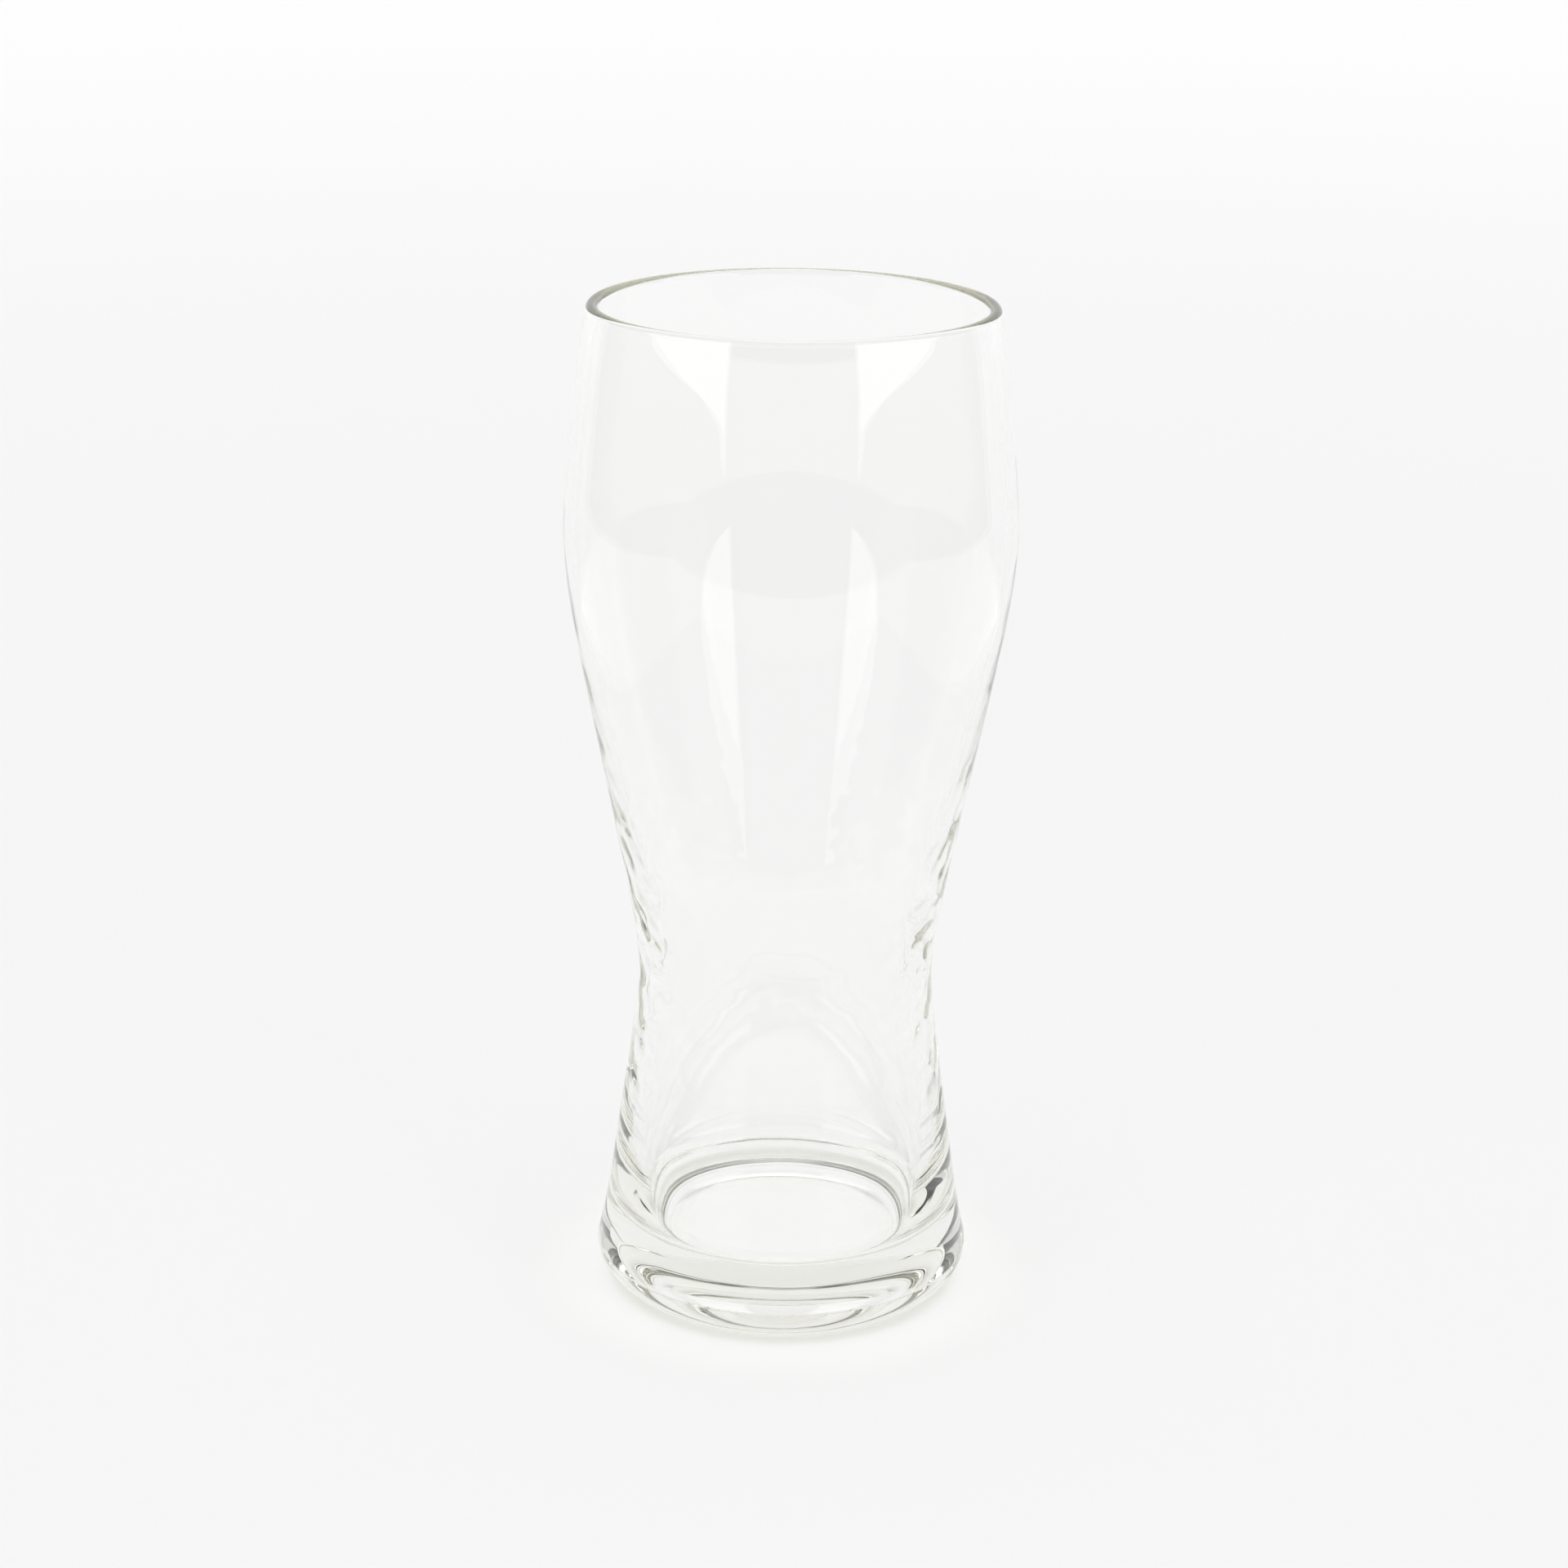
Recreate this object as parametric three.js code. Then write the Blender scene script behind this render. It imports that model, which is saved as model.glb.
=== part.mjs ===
// A tall waisted beer glass: one piece of clear soda-lime glass with a thick base and a rounded lip.
// Millimetres, +Z up. The origin is the centre of the flat ring that the glass stands on.
import * as THREE from 'three';

// Driving dimensions
const HEIGHT = 195;
const LIP_RADIUS = 38.3;
const LIP_THICKNESS = 2.3;
const FOOT_RADIUS = 36.8;
const FOOT_HEIGHT = 7.3;
const STANDING_RING_OUTER = 29.8;
const STANDING_RING_INNER = 28.8;
const PUSH_UP_HEIGHT = 3.9;
const PUSH_UP_POWER = 5.5;
const FLOOR_HEIGHT = 13.3;
const FLOOR_DISH = 0.6;

// How finely the curves are cut into flats
const FACETS_ROUND = 48;
const STEPS_UNDERNEATH = 10;
const STEPS_PER_ARC = 6;
const STEPS_PER_SPAN = 2;

// The walls are smooth curves pulled towards these radii and heights. The outer wall goes up from
// the foot, through the narrow waist and the wide bowl, to the lip.
const OUTER_WALL = [
  [FOOT_RADIUS, FOOT_HEIGHT],
  [35.2, 14],
  [34, 22],
  [31.4, 40],
  [28.9, 58],
  [28.4, 68],
  [30.1, 78],
  [33.8, 98],
  [37.8, 118],
  [40.5, 132],
  [42.2, 143],
  [42.9, 152],
  [42.2, 161.5],
  [40.7, 176],
  [39.8, 187],
  [LIP_RADIUS, HEIGHT - LIP_THICKNESS / 2],
];

// The inner wall comes down from the lip, turns in at the bottom and runs in to the axis.
const INNER_WALL = [
  [LIP_RADIUS - LIP_THICKNESS, HEIGHT - LIP_THICKNESS / 2],
  [37.5, 187],
  [38.5, 176],
  [40, 161.5],
  [40.7, 152],
  [40, 143],
  [38.2, 132],
  [35.4, 118],
  [31, 98],
  [26.7, 78],
  [24.7, 68],
  [25.2, 58],
  [27.4, 40],
  [28.4, FLOOR_HEIGHT + 15],
  [28.2, FLOOR_HEIGHT + 6],
  [28, FLOOR_HEIGHT + 2],
  [27.3, FLOOR_HEIGHT + 0.3],
  [25.8, FLOOR_HEIGHT - 0.1],
  [21, FLOOR_HEIGHT - 0.3],
  [10, FLOOR_HEIGHT - 0.5],
  [0, FLOOR_HEIGHT - FLOOR_DISH],
];

// One coordinate of a cubic B-spline span, at t from 0 to 1 between four neighbouring points.
function blend(a, b, c, d, t) {
  const weightA = (1 - t) ** 3;
  const weightB = 3 * t ** 3 - 6 * t ** 2 + 4;
  const weightC = -3 * t ** 3 + 3 * t ** 2 + 3 * t + 1;
  const weightD = t ** 3;
  return (weightA * a + weightB * b + weightC * c + weightD * d) / 6;
}

// Points along a smooth wall. The end points are repeated so that the curve reaches them.
function smoothWall(wall) {
  const first = wall[0];
  const last = wall[wall.length - 1];
  const control = [first, first, ...wall, last, last];
  const points = [];
  for (let i = 0; i + 3 < control.length; i += 1) {
    const [a, b, c, d] = control.slice(i, i + 4);
    for (let step = 0; step < STEPS_PER_SPAN; step += 1) {
      const t = step / STEPS_PER_SPAN;
      points.push(new THREE.Vector2(blend(a[0], b[0], c[0], d[0], t), blend(a[1], b[1], c[1], d[1], t)));
    }
  }
  points.push(new THREE.Vector2(...last));
  return points;
}

// The pushed-up underside is nearly flat in the middle and steepens towards the standing ring.
function underside() {
  const points = [];
  for (let step = 0; step <= STEPS_UNDERNEATH; step += 1) {
    const out = step / STEPS_UNDERNEATH;
    const height = PUSH_UP_HEIGHT * (1 - out ** PUSH_UP_POWER);
    points.push(new THREE.Vector2(STANDING_RING_INNER * out, height));
  }
  return points;
}

// Part of an upright ellipse, anticlockwise from the start angle to the stop angle.
function arc(middleRadius, middleHeight, width, height, start, stop) {
  const curve = new THREE.EllipseCurve(middleRadius, middleHeight, width, height, start, stop);
  return curve.getPoints(STEPS_PER_ARC);
}

// The half section, from the axis under the base, round the heel, up the outside, over the lip
// and down the inside to the axis again.
function halfSection() {
  const heelWidth = FOOT_RADIUS - STANDING_RING_OUTER;
  const halfLip = LIP_THICKNESS / 2;
  return [
    ...underside(),
    ...arc(STANDING_RING_OUTER, FOOT_HEIGHT, heelWidth, FOOT_HEIGHT, -Math.PI / 2, 0),
    ...smoothWall(OUTER_WALL).slice(1),
    ...arc(LIP_RADIUS - halfLip, HEIGHT - halfLip, halfLip, halfLip, 0, Math.PI).slice(1),
    ...smoothWall(INNER_WALL).slice(1),
  ];
}

function glassBody() {
  const geometry = new THREE.LatheGeometry(halfSection(), FACETS_ROUND);
  geometry.rotateX(Math.PI / 2);
  const clearGlass = new THREE.MeshStandardMaterial({
    color: 0xf4f7f4,
    roughness: 0.02,
    metalness: 0,
    transparent: true,
    opacity: 0.35,
  });
  const body = new THREE.Mesh(geometry, clearGlass);
  body.name = 'glass_body';
  return body;
}

const glass = new THREE.Group();
glass.add(glassBody());

export default glass;
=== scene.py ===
"""A tall waisted beer glass in clear glass, standing on the pale floor of a white photo studio."""

import math

import bpy
from mathutils import Matrix, Vector, noise


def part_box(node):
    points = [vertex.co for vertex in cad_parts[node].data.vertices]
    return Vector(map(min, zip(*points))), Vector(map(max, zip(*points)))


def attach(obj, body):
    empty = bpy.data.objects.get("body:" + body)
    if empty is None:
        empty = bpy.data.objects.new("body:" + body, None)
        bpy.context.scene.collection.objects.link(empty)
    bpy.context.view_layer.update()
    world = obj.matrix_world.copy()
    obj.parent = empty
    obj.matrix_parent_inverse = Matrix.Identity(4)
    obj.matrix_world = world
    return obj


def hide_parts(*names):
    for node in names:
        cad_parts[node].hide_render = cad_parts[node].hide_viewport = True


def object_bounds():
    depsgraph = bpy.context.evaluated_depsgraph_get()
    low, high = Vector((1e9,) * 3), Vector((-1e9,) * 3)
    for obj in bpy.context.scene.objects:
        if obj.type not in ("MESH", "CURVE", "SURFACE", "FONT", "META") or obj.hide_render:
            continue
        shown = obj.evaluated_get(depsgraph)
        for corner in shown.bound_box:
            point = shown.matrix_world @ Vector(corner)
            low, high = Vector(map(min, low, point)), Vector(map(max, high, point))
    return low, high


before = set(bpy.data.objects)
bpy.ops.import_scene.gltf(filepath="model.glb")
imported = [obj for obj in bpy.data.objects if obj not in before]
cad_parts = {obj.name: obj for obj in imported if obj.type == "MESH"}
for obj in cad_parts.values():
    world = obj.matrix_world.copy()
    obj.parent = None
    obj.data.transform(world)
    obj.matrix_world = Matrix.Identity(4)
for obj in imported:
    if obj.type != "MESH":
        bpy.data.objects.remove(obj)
cad_low, cad_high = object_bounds()

# ---------------------------------------------------------------------------------------------
# The glass. Sizes are millimetres of a glass 195 mm tall; MM turns them into metres of the frame.
# ---------------------------------------------------------------------------------------------
HEIGHT = 195.0
body_low, body_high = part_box("glass_body")
MM = (body_high[2] - body_low[2]) / HEIGHT

LIP_RADIUS = 38.3
LIP_THICKNESS = 2.3
LIP_BOTTOM = HEIGHT - LIP_THICKNESS / 2
FOOT_RADIUS = 36.8
FOOT_HEIGHT = 7.3
STANDING_RING_OUTER = 29.8
STANDING_RING_INNER = 28.8
PUSH_UP_HEIGHT = 3.9
PUSH_UP_POWER = 5.5
FLOOR_HEIGHT = 13.3
FLOOR_DISH = 0.6

# The walls are smooth curves pulled towards these points: radius and height, and on the inner
# wall how deep its ripples are, all in millimetres. The mould kept the outside smooth. The inside
# is rippled, most of all at the waist.
OUTER_WALL = (
    (FOOT_RADIUS, FOOT_HEIGHT),
    (35.2, 14.0),
    (34.0, 22.0),
    (31.4, 40.0),
    (28.9, 58.0),
    (28.4, 68.0),
    (30.1, 78.0),
    (33.8, 98.0),
    (37.8, 118.0),
    (40.5, 132.0),
    (42.2, 143.0),
    (42.9, 152.0),
    (42.2, 161.5),
    (40.7, 176.0),
    (39.8, 187.0),
    (LIP_RADIUS, LIP_BOTTOM),
)
INNER_WALL = (
    (LIP_RADIUS - LIP_THICKNESS, LIP_BOTTOM, 0),
    (37.5, 187.0, 0.01),
    (38.5, 176.0, 0.01),
    (40.0, 161.5, 0.01),
    (40.7, 152.0, 0.01),
    (40.0, 143.0, 0.01),
    (38.2, 132.0, 0.02),
    (35.4, 118.0, 0.03),
    (31.0, 98.0, 0.10),
    (26.7, 78.0, 0.70),
    (24.7, 68.0, 1.00),
    (25.2, 58.0, 0.60),
    (27.4, 40.0, 0.06),
    (28.4, FLOOR_HEIGHT + 15.0, 0.03),
    (28.2, FLOOR_HEIGHT + 6.0, 0.02),
    (28.0, FLOOR_HEIGHT + 2.0, 0.01),
    (27.3, FLOOR_HEIGHT + 0.3, 0.01),
    (25.8, FLOOR_HEIGHT - 0.1, 0.02),
    (21.0, FLOOR_HEIGHT - 0.3, 0.02),
    (10.0, FLOOR_HEIGHT - 0.5, 0.02),
    (0.0, FLOOR_HEIGHT - FLOOR_DISH, 0),
)
UNDERSIDE_RIPPLE = 0.05

# The ripples are soft noise, a little wider than they are tall. They are deepest beside the two
# seams of the mould, on the left and on the right of the glass.
RIPPLE_WIDTH = 9.0
RIPPLE_RISE = 8.0
RIPPLE_OCTAVES = 2
RIPPLE_SMOOTHNESS = 1.0
RIPPLE_FINER_BY = 2.0
RIPPLE_BETWEEN_SEAMS = 0.1
SEAM_SHARPNESS = 4

# The glass itself and the finish of its surface
GLASS_IOR = 1.52
GLASS_TINT = (0.86, 0.86, 0.80, 1)
TINT_DENSITY = 10.0
SKIN_WAVES_PER_METRE = 70
SKIN_DETAIL = 2
SKIN_DEPTH = 0.0001
SKIN_STRENGTH = 0.2
SMEARS_PER_METRE = 45
SMEAR_DETAIL = 4
SMEAR_EDGES = (0.62, 0.72)
SMEAR_ROUGHNESS = 0.03

# How finely the curves are cut
STEPS_ROUND = 384
STEP_LENGTH = 0.8
SAME_POINT = 1e-6
STEPS_UNDERNEATH = 60
STEPS_PER_SPAN = 12
STEPS_PER_ARC = 24


def smooth_wall(control):
    """Points on the cubic B-spline of the control points, from the first of them to the last."""
    points = [Vector(p).to_3d() for p in control]
    points = [points[0]] * 2 + points + [points[-1]] * 2
    wall = []
    for a, b, c, d in zip(points, points[1:], points[2:], points[3:]):
        for step in range(STEPS_PER_SPAN):
            t = step / STEPS_PER_SPAN
            wall.append((
                a * (1 - t) ** 3
                + b * (3 * t ** 3 - 6 * t ** 2 + 4)
                + c * (-3 * t ** 3 + 3 * t ** 2 + 3 * t + 1)
                + d * t ** 3
            ) / 6)
    return wall + [points[-1]]


def arc(middle_radius, middle_height, width, height, start, stop):
    """Points on part of an upright ellipse, anticlockwise, with the angles in degrees."""
    points = []
    for step in range(STEPS_PER_ARC + 1):
        angle = math.radians(start + (stop - start) * step / STEPS_PER_ARC)
        points.append(Vector((
            middle_radius + width * math.cos(angle),
            middle_height + height * math.sin(angle),
            0,
        )))
    return points


def underside():
    """The pushed-up underside, nearly flat in the middle and steep towards the standing ring."""
    points = []
    for step in range(STEPS_UNDERNEATH + 1):
        out = step / STEPS_UNDERNEATH
        points.append(Vector((
            STANDING_RING_INNER * out,
            PUSH_UP_HEIGHT * (1 - out ** PUSH_UP_POWER),
            UNDERSIDE_RIPPLE * math.sin(math.pi * out),
        )))
    return points


def half_section():
    """From the axis under the base, round the heel, up the outside and down the inside."""
    half_lip = LIP_THICKNESS / 2
    heel_width = FOOT_RADIUS - STANDING_RING_OUTER
    heel = arc(STANDING_RING_OUTER, FOOT_HEIGHT, heel_width, FOOT_HEIGHT, -90, 0)
    lip = arc(LIP_RADIUS - half_lip, LIP_BOTTOM, half_lip, half_lip, 0, 180)
    return underside() + heel + smooth_wall(OUTER_WALL) + lip + smooth_wall(INNER_WALL)


def evenly(points, step):
    """The same line without doubled points, and with its long stretches cut into steps."""
    line = [points[0]]
    for start, stop in zip(points, points[1:]):
        length = (stop - start).length
        if length > SAME_POINT:
            count = math.ceil(length / step)
            line += [start.lerp(stop, i / count) for i in range(1, count + 1)]
    return line


def ripple(x, y, z):
    """How far the rippled surface stands off the smooth one there, as a share of its depth."""
    here = Vector((x / RIPPLE_WIDTH, y / RIPPLE_WIDTH, z / RIPPLE_RISE))
    beside_seam = (x * x / (x * x + y * y)) ** SEAM_SHARPNESS
    share = RIPPLE_BETWEEN_SEAMS + (1 - RIPPLE_BETWEEN_SEAMS) * beside_seam
    return share * noise.fractal(here, RIPPLE_SMOOTHNESS, RIPPLE_FINER_BY, RIPPLE_OCTAVES)


def ring(before, here, after):
    """The points round the glass at one point of the section, rippled along its normal."""
    run = (after - before).to_2d().normalized()
    verts = []
    for k in range(STEPS_ROUND):
        across = math.cos(2 * math.pi * k / STEPS_ROUND)
        along = math.sin(2 * math.pi * k / STEPS_ROUND)
        off = here.z * ripple(here.x * across, here.x * along, here.y) if here.z else 0
        radius = (here.x + run.y * off) * MM
        verts.append((radius * across, radius * along, (here.y - run.x * off) * MM))
    return verts


def turned(name, section):
    """A closed mesh made by turning the half section round the axis."""
    verts = [(0, 0, section[0].y * MM)]
    for before, here, after in zip(section, section[1:], section[2:]):
        verts += ring(before, here, after)
    verts.append((0, 0, section[-1].y * MM))

    last = len(verts) - 1
    faces = []
    for k in range(STEPS_ROUND):
        j = (k + 1) % STEPS_ROUND
        faces.append((0, 1 + j, 1 + k))
        for low in range(1, last - STEPS_ROUND, STEPS_ROUND):
            high = low + STEPS_ROUND
            faces.append((low + k, low + j, high + j, high + k))
        faces.append((last - STEPS_ROUND + k, last - STEPS_ROUND + j, last))

    mesh = bpy.data.meshes.new(name)
    mesh.from_pydata(verts, [], faces)
    mesh.shade_smooth()
    made = bpy.data.objects.new(name, mesh)
    bpy.context.scene.collection.objects.link(made)
    return made


def map_range(tree, value, source, target):
    """A smooth change from one target value to the other while value crosses the source range."""
    node = tree.nodes.new("ShaderNodeMapRange")
    node.interpolation_type = "SMOOTHSTEP"
    tree.links.new(value, node.inputs["Value"])
    node.inputs["From Min"].default_value = source[0]
    node.inputs["From Max"].default_value = source[1]
    node.inputs["To Min"].default_value = target[0]
    node.inputs["To Max"].default_value = target[1]
    return node.outputs["Result"]


def noise_texture(tree, place, waves_per_metre, detail):
    """Soft three-dimensional noise fixed to the object."""
    node = tree.nodes.new("ShaderNodeTexNoise")
    tree.links.new(place.outputs["Object"], node.inputs["Vector"])
    node.inputs["Scale"].default_value = waves_per_metre
    node.inputs["Detail"].default_value = detail
    return node.outputs["Fac"]


def clear_glass():
    """Soda-lime glass: no colour where it is thin, faintly olive where it is thick."""
    mat = bpy.data.materials.new("clear_glass")
    mat.use_nodes = True
    tree = mat.node_tree
    shader = tree.nodes["Principled BSDF"]
    shader.inputs["Base Color"].default_value = (1, 1, 1, 1)
    shader.inputs["IOR"].default_value = GLASS_IOR
    shader.inputs["Transmission Weight"].default_value = 1.0
    place = tree.nodes.new("ShaderNodeTexCoord")

    # The fire-polished skin is very slightly uneven, so reflections have soft wavering edges
    skin = noise_texture(tree, place, SKIN_WAVES_PER_METRE, SKIN_DETAIL)
    uneven = tree.nodes.new("ShaderNodeBump")
    uneven.inputs["Strength"].default_value = SKIN_STRENGTH
    uneven.inputs["Distance"].default_value = SKIN_DEPTH
    tree.links.new(skin, uneven.inputs["Height"])
    tree.links.new(uneven.outputs["Normal"], shader.inputs["Normal"])

    # A cloth leaves a few faint smears, where the polish is a little duller
    smears = noise_texture(tree, place, SMEARS_PER_METRE, SMEAR_DETAIL)
    dullness = map_range(tree, smears, SMEAR_EDGES, (0, SMEAR_ROUGHNESS))
    tree.links.new(dullness, shader.inputs["Roughness"])

    # Light dies away slowly inside the glass, blue a little faster than the rest
    absorb = tree.nodes.new("ShaderNodeVolumeAbsorption")
    absorb.inputs["Color"].default_value = GLASS_TINT
    absorb.inputs["Density"].default_value = TINT_DENSITY
    tree.links.new(absorb.outputs["Volume"], tree.nodes["Material Output"].inputs["Volume"])
    return mat


glass = turned("glass", evenly(half_section(), STEP_LENGTH))
glass.data.materials.append(clear_glass())
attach(glass, "root")
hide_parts("glass_body")

# ---------------------------------------------------------------------------------------------
# The studio, in metres and degrees: a white floor under an even white sky, a dim room that only
# reflections see, and a tall softbox on either side of the camera.
# ---------------------------------------------------------------------------------------------
FLOOR_RADIUS = 6.0
FLOOR_CORNERS = 96
FLOOR_DROP = 0.0001
FLOOR_NEAR_COLOUR = (0.852, 0.852, 0.852, 1)
FLOOR_FAR_COLOUR = (0.93, 0.93, 0.93, 1)
FLOOR_NEAR_EDGE = 0.3
FLOOR_FAR_EDGE = 2.6
# A painted halo of light: the floor colour is lighter in a narrow ring round the foot of the glass
FLOOR_PAINTED_HALO_COLOUR = (0.91, 0.91, 0.91, 1)
FLOOR_PAINTED_HALO_START = 0.036
FLOOR_PAINTED_HALO_END = 0.053

SKY_COLOUR = (1, 1, 1, 1)
SKY_LOW_STRENGTH = 0.955
SKY_HIGH_STRENGTH = 1.6
SKY_FADE = (0.86, 0.97)

ROOM_LIGHT = 0.7
ROOM_HIGH_LIGHT = 0.16
ROOM_SIDE_LIGHT = 0.03
ROOM_DISTANCE = 4.0
ROOM_BOTTOM = -4.0
ROOM_STEP = 14
ROOM_TOP = 90
ROOM_FRONT_END = 98
ROOM_LEFT_END = 125
ROOM_RIGHT_END = 118
TABLE_FRONT = 0.48
TABLE_HALF_WIDTH = 0.83
TABLE_REACH = 5.0
TABLE_RISE = 0.0005
TABLE_LIGHT = 1.07
TABLE_BRIGHT_FROM = 0.25
TABLE_BACK = 0.3

GLOW_BLUE_SHARE = 0.98
BETWEEN_NONE_AND_ONE = 0.5

SOFTBOX_DISTANCE = 1.7
SOFTBOX_LAMP_LIGHT = 1.3
SOFTBOX_FACE_LIGHT = 1.7
SOFTBOX_EYE_HEIGHT = 0.18
SOFTBOX_LAMP = ((34.5, -0.8), (34.5, 32), (56.5, 32), (56.5, -0.8))
SOFTBOX_FACE = ((34.5, -2.5), (34.5, 32), (88, 32), (88, 9), (56, 2.2), (46, -0.2))

# The colour sockets of a Mix node, which share their names with its other sockets
MIX_FIRST = 6
MIX_SECOND = 7
MIX_RESULT = 2

scene = bpy.context.scene


def white_sky():
    """An even white all round, brighter overhead."""
    world = bpy.data.worlds.new("white_sky")
    world.use_nodes = True
    tree = world.node_tree
    place = tree.nodes.new("ShaderNodeTexCoord")
    split = tree.nodes.new("ShaderNodeSeparateXYZ")
    tree.links.new(place.outputs["Generated"], split.inputs["Vector"])
    strength = map_range(tree, split.outputs["Z"], SKY_FADE, (SKY_LOW_STRENGTH, SKY_HIGH_STRENGTH))
    background = tree.nodes["Background"]
    background.inputs["Color"].default_value = SKY_COLOUR
    tree.links.new(strength, background.inputs["Strength"])
    scene.world = world


def colour_mix(tree, share):
    """A node whose colour goes from its first to its second as the share goes from 0 to 1."""
    mixed = tree.nodes.new("ShaderNodeMix")
    mixed.data_type = "RGBA"
    tree.links.new(share, mixed.inputs["Factor"])
    return mixed


def floor_paint():
    """Matt white, a little lighter far from the glass, with a painted halo of light: a lighter ring
    of floor colour round its foot.
    """
    mat = bpy.data.materials.new("floor_paint")
    mat.use_nodes = True
    tree = mat.node_tree
    place = tree.nodes.new("ShaderNodeTexCoord")
    distance = tree.nodes.new("ShaderNodeVectorMath")
    distance.operation = "LENGTH"
    tree.links.new(place.outputs["Object"], distance.inputs[0])
    away = distance.outputs["Value"]
    far_share = map_range(tree, away, (FLOOR_NEAR_EDGE, FLOOR_FAR_EDGE), (0, 1))
    plain = colour_mix(tree, far_share)
    plain.inputs[MIX_FIRST].default_value = FLOOR_NEAR_COLOUR
    plain.inputs[MIX_SECOND].default_value = FLOOR_FAR_COLOUR
    # Painted halo of light: a lighter floor colour in a ring round the foot of the glass
    painted_halo_share = map_range(tree, away, (FLOOR_PAINTED_HALO_START, FLOOR_PAINTED_HALO_END), (0, 1))
    colour = colour_mix(tree, painted_halo_share)
    colour.inputs[MIX_FIRST].default_value = FLOOR_PAINTED_HALO_COLOUR
    tree.links.new(plain.outputs[MIX_RESULT], colour.inputs[MIX_SECOND])
    shader = tree.nodes["Principled BSDF"]
    shader.inputs["Roughness"].default_value = 1.0
    shader.inputs["Specular IOR Level"].default_value = 0
    tree.links.new(colour.outputs[MIX_RESULT], shader.inputs["Base Color"])
    return mat


def depth_test(tree, depth, operation):
    """1 where the light path has, or has not yet, had a bounce of that kind."""
    test = tree.nodes.new("ShaderNodeMath")
    test.operation = operation
    test.inputs[1].default_value = BETWEEN_NONE_AND_ONE
    tree.links.new(depth, test.inputs[0])
    return test.outputs["Value"]


def glow_paint(name, light, lights_floor):
    """A glow that only lights the floor, or that only shows as a reflection in the glass."""
    mat = bpy.data.materials.new(name)
    mat.use_nodes = True
    mat.cycles.emission_sampling = "NONE"
    tree = mat.node_tree
    tree.nodes.clear()
    path = tree.nodes.new("ShaderNodeLightPath")
    if lights_floor:
        shown = depth_test(tree, path.outputs["Diffuse Depth"], "GREATER_THAN")
    else:
        both = tree.nodes.new("ShaderNodeMath")
        both.operation = "MULTIPLY"
        reflected = depth_test(tree, path.outputs["Glossy Depth"], "GREATER_THAN")
        off_floor = depth_test(tree, path.outputs["Diffuse Depth"], "LESS_THAN")
        tree.links.new(reflected, both.inputs[0])
        tree.links.new(off_floor, both.inputs[1])
        shown = both.outputs["Value"]
    glow = tree.nodes.new("ShaderNodeEmission")
    glow.inputs["Color"].default_value = (light, light, light * GLOW_BLUE_SHARE, 1)
    clear = tree.nodes.new("ShaderNodeBsdfTransparent")
    either = tree.nodes.new("ShaderNodeMixShader")
    tree.links.new(shown, either.inputs["Fac"])
    tree.links.new(clear.outputs["BSDF"], either.inputs[1])
    tree.links.new(glow.outputs["Emission"], either.inputs[2])
    output = tree.nodes.new("ShaderNodeOutputMaterial")
    tree.links.new(either.outputs["Shader"], output.inputs["Surface"])
    return mat


def stage_mesh(name, verts, faces, mat):
    """A mesh that belongs to the studio, not to the glass."""
    mesh = bpy.data.meshes.new(name)
    mesh.from_pydata(verts, [], faces)
    mesh.materials.append(mat)
    made = bpy.data.objects.new(name, mesh)
    scene.collection.objects.link(made)
    return made


def direction(turn, lift):
    """The unit vector turned from the camera's side towards image left, and lifted, in degrees."""
    turn, lift = math.radians(turn), math.radians(lift)
    return Vector((
        -math.sin(turn) * math.cos(lift),
        -math.cos(turn) * math.cos(lift),
        math.sin(lift),
    ))


def glowing(name, verts, faces, light, lights_floor=False):
    """A glowing card of the studio that the camera doesn't see and that casts no shadow."""
    card = stage_mesh(name, verts, faces, glow_paint(name, light, lights_floor))
    card.visible_camera = False
    card.visible_diffuse = lights_floor
    card.visible_shadow = False


def room_wall(name, start, stop, low, high, light, across=24, up=16):
    """Part of a dome round the glass, between two turns and two lifts."""
    verts, faces = [], []
    for i in range(across + 1):
        turn = start + (stop - start) * i / across
        for j in range(up + 1):
            lift = low + (high - low) * j / up
            verts.append(direction(turn, lift) * ROOM_DISTANCE)
    for i in range(across):
        for j in range(up):
            k = i * (up + 1) + j
            faces.append((k, k + 1, k + up + 2, k + up + 1))
    glowing(name, verts, faces, light)


def room_floor():
    """The dim floor in front of the white table and on both sides of it."""
    left, right, front, reach = -TABLE_HALF_WIDTH, TABLE_HALF_WIDTH, -TABLE_FRONT, TABLE_REACH

    def on_edge(x, end):
        return (x, abs(x) * math.tan(math.radians(end - 90)), TABLE_RISE)

    verts = [
        (-reach, -reach, TABLE_RISE), (reach, -reach, TABLE_RISE),
        (reach, front, TABLE_RISE), (-reach, front, TABLE_RISE),
        (left, front, TABLE_RISE), on_edge(left, ROOM_LEFT_END), on_edge(-reach, ROOM_LEFT_END),
        (right, front, TABLE_RISE), on_edge(reach, ROOM_RIGHT_END), on_edge(right, ROOM_RIGHT_END),
    ]
    faces = [(0, 1, 2, 3), (3, 4, 5, 6), (7, 2, 8, 9)]
    glowing("room_floor", verts, faces, ROOM_LIGHT)


def bright_table():
    """The parts of the white table that the softboxes light more than the part under the glass."""
    side, front, back, start = TABLE_HALF_WIDTH, -TABLE_FRONT, TABLE_BACK, TABLE_BRIGHT_FROM
    verts = [
        (-side, front, TABLE_RISE), (side, front, TABLE_RISE),
        (side, -start, TABLE_RISE), (side, back, TABLE_RISE),
        (start, back, TABLE_RISE), (start, -start, TABLE_RISE),
        (-start, -start, TABLE_RISE), (-start, back, TABLE_RISE),
        (-side, back, TABLE_RISE), (-side, -start, TABLE_RISE),
    ]
    faces = [(0, 1, 2, 5, 6, 9), (5, 2, 3, 4), (9, 6, 7, 8)]
    glowing("bright_table", verts, faces, TABLE_LIGHT)


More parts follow.
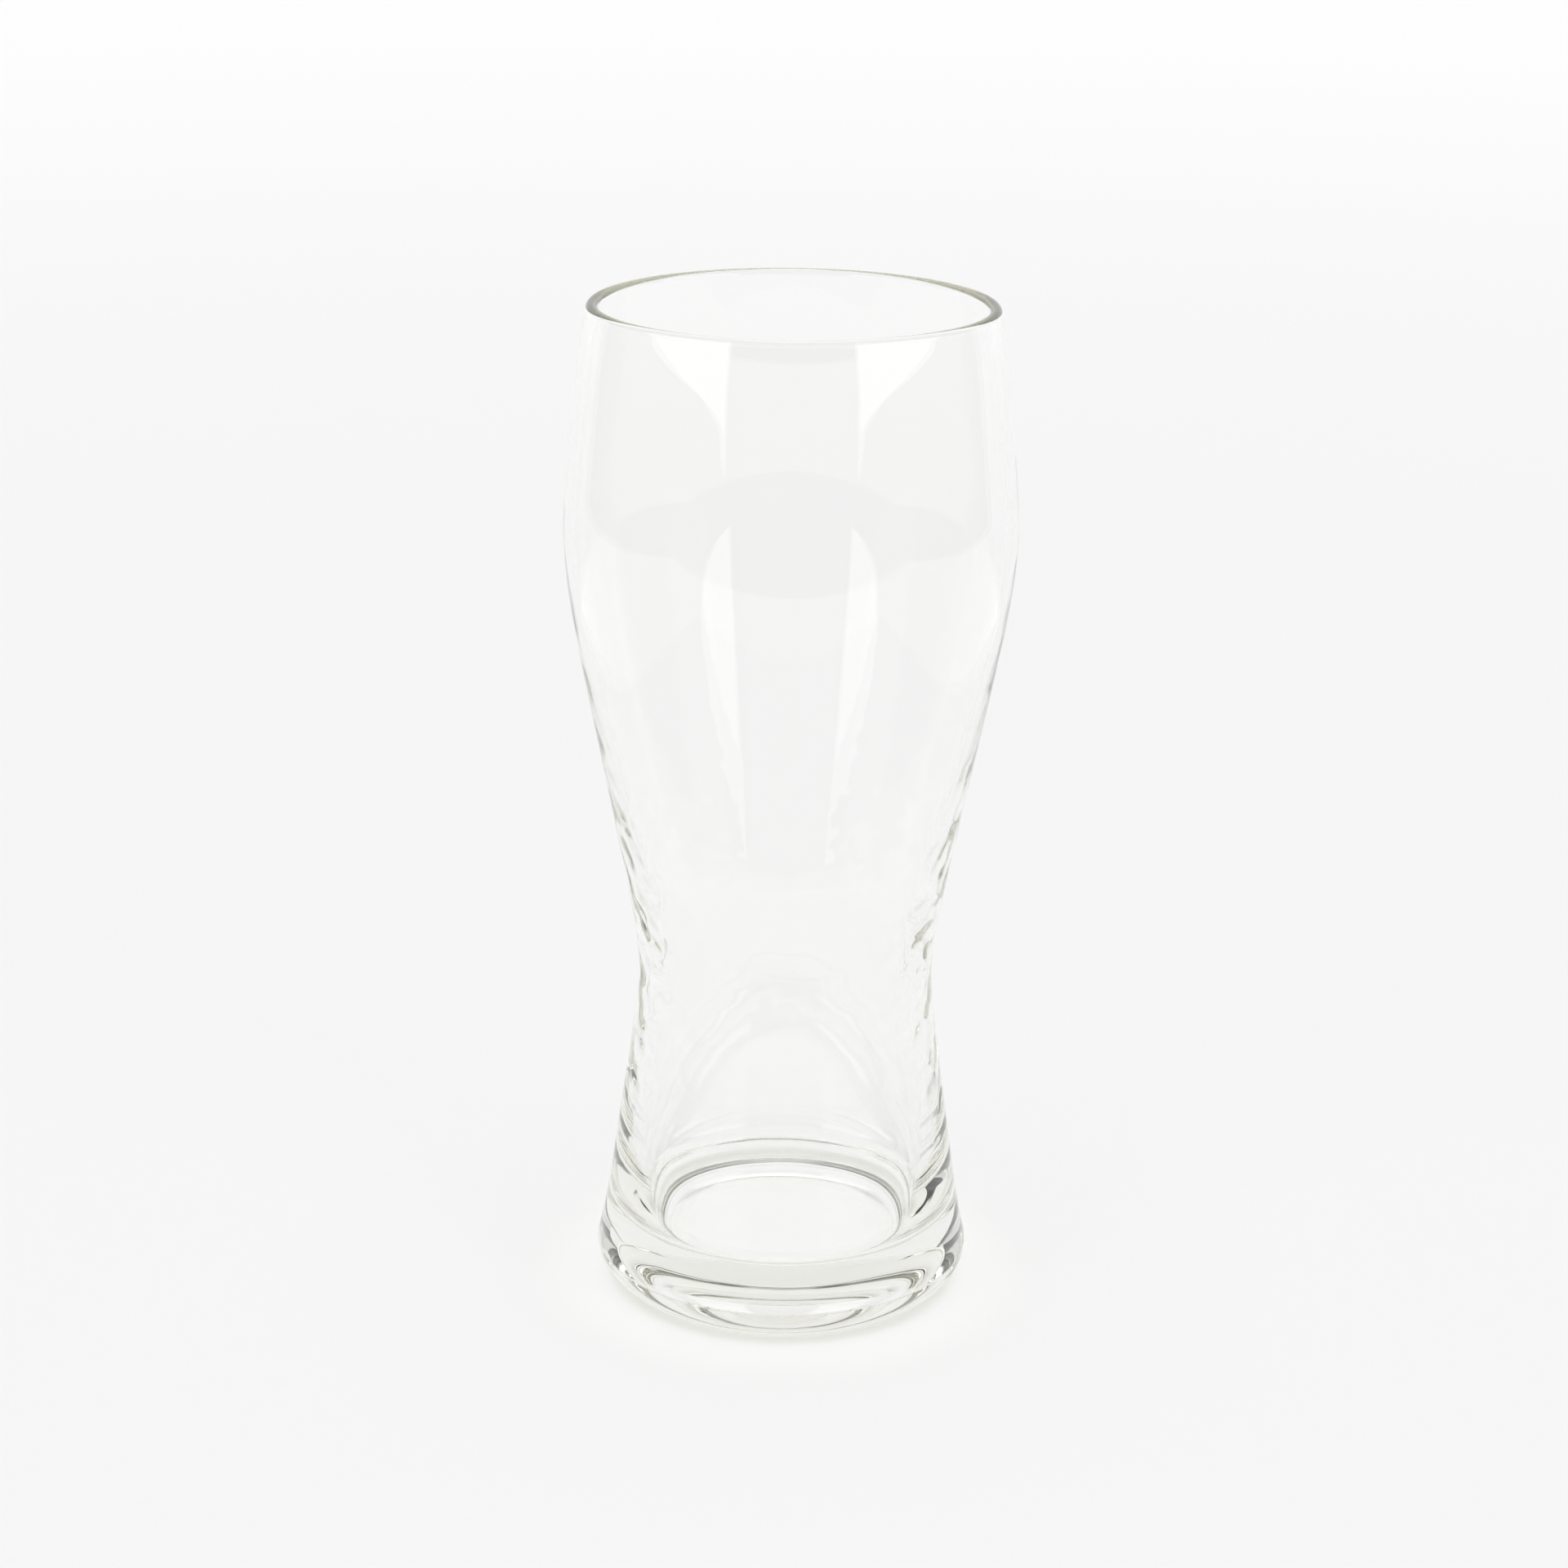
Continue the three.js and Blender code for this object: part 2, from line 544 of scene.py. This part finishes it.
def softbox(name, corners, light, lights_floor):
    """An upright glowing face. Its corners are turns and lifts seen from the glass."""
    verts = []
    for turn, lift in corners:
        level = direction(turn, 0) * SOFTBOX_DISTANCE
        rise = SOFTBOX_DISTANCE * math.tan(math.radians(lift))
        verts.append(level + Vector((0, 0, SOFTBOX_EYE_HEIGHT + rise)))
    glowing(name, verts, [tuple(range(len(verts)))], light, lights_floor)


white_sky()
drop = Vector((0, 0, FLOOR_DROP))
floor_turns = [360 * k / FLOOR_CORNERS for k in range(FLOOR_CORNERS)]
floor_verts = [direction(turn, 0) * FLOOR_RADIUS - drop for turn in floor_turns]
stage_mesh("floor", floor_verts, [tuple(reversed(range(FLOOR_CORNERS)))], floor_paint())
room_floor()
bright_table()
room_wall("room_front", -ROOM_FRONT_END, ROOM_FRONT_END, ROOM_BOTTOM, ROOM_STEP, ROOM_LIGHT)
room_wall("room_front_dark", -ROOM_FRONT_END, ROOM_FRONT_END, ROOM_STEP, ROOM_TOP, ROOM_HIGH_LIGHT)
room_wall("room_left", ROOM_FRONT_END, ROOM_LEFT_END, ROOM_BOTTOM, ROOM_STEP, ROOM_LIGHT)
room_wall("room_right", -ROOM_RIGHT_END, -ROOM_FRONT_END, ROOM_BOTTOM, ROOM_STEP, ROOM_LIGHT)
room_wall("room_left_dark", ROOM_FRONT_END, ROOM_LEFT_END, ROOM_STEP, ROOM_TOP, ROOM_SIDE_LIGHT)
room_wall("room_right_dark", -ROOM_RIGHT_END, -ROOM_FRONT_END, ROOM_STEP, ROOM_TOP, ROOM_SIDE_LIGHT)
for side, mirror in (("left", 1), ("right", -1)):
    lamp = [(mirror * turn, lift) for turn, lift in SOFTBOX_LAMP]
    face = [(mirror * turn, lift) for turn, lift in SOFTBOX_FACE]
    softbox(side + "_lamp", lamp, SOFTBOX_LAMP_LIGHT, True)
    softbox(side + "_face", face, SOFTBOX_FACE_LIGHT, False)

# ---------------------------------------------------------------------------------------------
# The camera, in heights of the glass and radians, with its lens in millimetres, and how many
# bounces the light may make
# ---------------------------------------------------------------------------------------------
CAMERA_DISTANCE = 3.1346
CAMERA_HEIGHT = 1.5641
CAMERA_TILT = 0.3210
CAMERA_PAN = -0.0011
CAMERA_ROLL = 0.0133
CAMERA_LENS = 76.875
CAMERA_SENSOR = 36

MOST_BOUNCES = 128
MOST_CARDS_PASSED = 24

height = cad_high[2] - cad_low[2]
ahead = Vector((
    math.sin(CAMERA_PAN) * math.cos(CAMERA_TILT),
    math.cos(CAMERA_PAN) * math.cos(CAMERA_TILT),
    -math.sin(CAMERA_TILT),
))
level = Vector((math.cos(CAMERA_PAN), -math.sin(CAMERA_PAN), 0))
above = level.cross(ahead)
right = math.cos(CAMERA_ROLL) * level + math.sin(CAMERA_ROLL) * above
upward = -math.sin(CAMERA_ROLL) * level + math.cos(CAMERA_ROLL) * above
facing = Matrix((right, upward, -ahead)).transposed().to_4x4()
camera_data = bpy.data.cameras.new("camera")
camera_data.sensor_width = CAMERA_SENSOR
camera_data.lens = CAMERA_LENS
camera = bpy.data.objects.new("camera", camera_data)
scene.collection.objects.link(camera)
place = Vector((0, -CAMERA_DISTANCE, CAMERA_HEIGHT)) * height
camera.matrix_world = Matrix.Translation(place) @ facing
scene.camera = camera

# Light bounces many times inside clear glass, and none of it is cut off or blurred on the way
scene.view_settings.view_transform = "Standard"
scene.cycles.max_bounces = MOST_BOUNCES
scene.cycles.transmission_bounces = MOST_BOUNCES
scene.cycles.glossy_bounces = MOST_BOUNCES
scene.cycles.transparent_max_bounces = MOST_CARDS_PASSED
scene.cycles.sample_clamp_indirect = 0
scene.cycles.blur_glossy = 0
